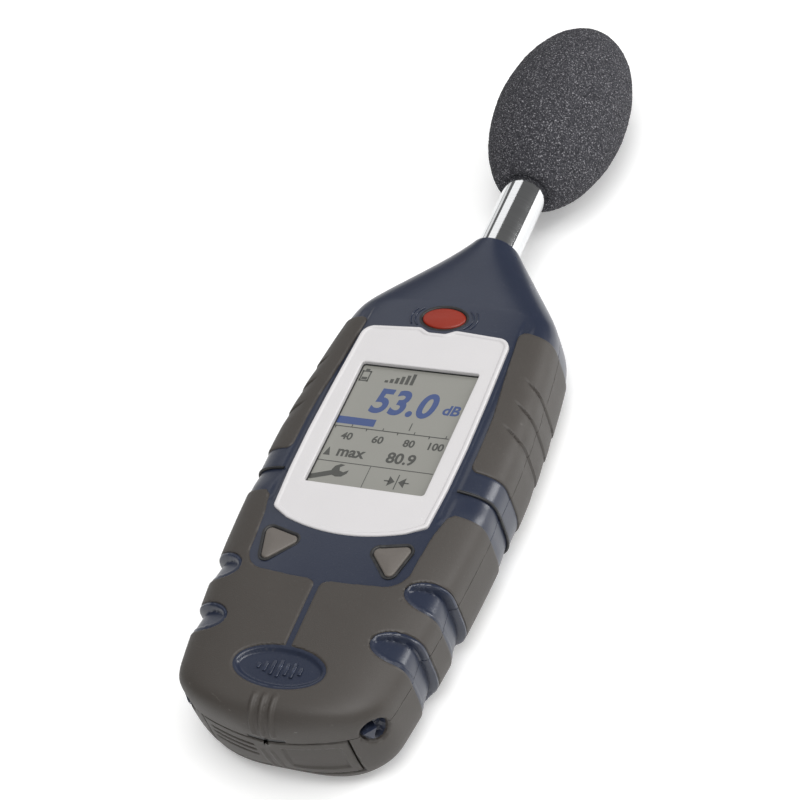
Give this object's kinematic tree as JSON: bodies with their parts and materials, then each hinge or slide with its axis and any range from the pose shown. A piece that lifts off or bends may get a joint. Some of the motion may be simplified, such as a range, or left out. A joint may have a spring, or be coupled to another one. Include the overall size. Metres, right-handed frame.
{
  "type": "sound level meter",
  "caption": "Hand-held sound level meter with a tapered nose, chrome microphone stem, foam windscreen, graphic display, rubber side grips and shaped keys",
  "frame": {"origin": "Centre of the tripod bush's mouth, on the plane that the meter lies on, straight behind the centre of the display", "axes": "+X across the case to the display's right, +Y along the meter toward the microphone, +Z out of the display"},
  "size_m": [0.071, 0.2585, 0.0395],
  "materials": {
    "navy_plastic": "satin, fine spark texture",
    "grip_rubber": "matte",
    "surround_plastic": "satin",
    "clear_window": "polished",
    "lcd_glass": "satin",
    "light_guide": "matte",
    "circuit_board": "satin",
    "black_plastic": "satin",
    "plated_steel": "satin",
    "red_key_rubber": "satin",
    "key_rubber": "satin",
    "polished_stem": "mirror",
    "black_rubber": "matte",
    "socket_alloy": "satin",
    "microphone_metal": "satin",
    "acoustic_foam": "open-cell foam, speckled",
    "cell_wrap": "gloss",
    "bush_brass": "turned"
  },
  "bodies": {
    "meter": {"front_shell": "navy_plastic", "rear_shell": "navy_plastic", "grip_front_left": "grip_rubber", "grip_front_right": "grip_rubber", "grip_rear_left": "grip_rubber", "grip_rear_right": "grip_rubber", "overmould_front": "grip_rubber", "overmould_rear": "grip_rubber", "display_surround": "surround_plastic", "display_window": "clear_window", "lcd_panel": "lcd_glass", "lcd_backlight": "light_guide", "lcd_frame": "light_guide", "main_board": "circuit_board", "board_chips": "black_plastic", "shield_can": "plated_steel", "tact_switches": "black_plastic", "mic_stem": "polished_stem", "stem_seal": "black_rubber", "stem_socket": "socket_alloy", "preamp_board": "circuit_board", "mic_capsule": "microphone_metal", "mic_grid": "microphone_metal", "battery_tray": "black_plastic", "battery_cells": "cell_wrap", "battery_springs": "plated_steel", "battery_plates": "plated_steel", "tripod_bush": "bush_brass", "case_screws": "plated_steel", "connector_board": "circuit_board", "usb_socket": "plated_steel", "power_socket": "black_plastic", "output_socket": "black_plastic", "lanyard_posts": "navy_plastic"},
    "power_key": {"power_button": "red_key_rubber"},
    "left_key": {"soft_key_left": "key_rubber"},
    "right_key": {"soft_key_right": "key_rubber"},
    "foam_ball": {"windscreen": "acoustic_foam"},
    "battery_door": {"battery_cover": "navy_plastic"},
    "socket_flap": {"connector_cover": "grip_rubber"}
  },
  "joints": [
    {"name": "power_press", "type": "slide", "parent": "meter", "child": "power_key", "axis": [0, 0, -1], "range_m": [0, 0.0008], "stiffness_N_per_m": 700, "springref_m": -0.0006},
    {"name": "left_key_press", "type": "slide", "parent": "meter", "child": "left_key", "axis": [0, 0, -1], "range_m": [0, 0.0008], "stiffness_N_per_m": 700, "springref_m": -0.0006},
    {"name": "right_key_press", "type": "slide", "parent": "meter", "child": "right_key", "axis": [0, 0, -1], "range_m": [0, 0.0008], "stiffness_N_per_m": 700, "springref_m": -0.0006},
    {"name": "windscreen_pull", "type": "slide", "parent": "meter", "child": "foam_ball", "axis": [0, 1, 0], "range_m": [0, 0.07]},
    {"name": "battery_door_swing", "type": "hinge", "parent": "meter", "child": "battery_door", "pos_m": [0, -0.0236, 0.00185], "axis": [1, 0, 0], "range_deg": [0, 100]},
    {"name": "socket_flap_swing", "type": "hinge", "parent": "meter", "child": "socket_flap", "pos_m": [0, -0.0934, 0.0062], "axis": [1, 0, 0], "range_deg": [0, 100]}
  ]
}
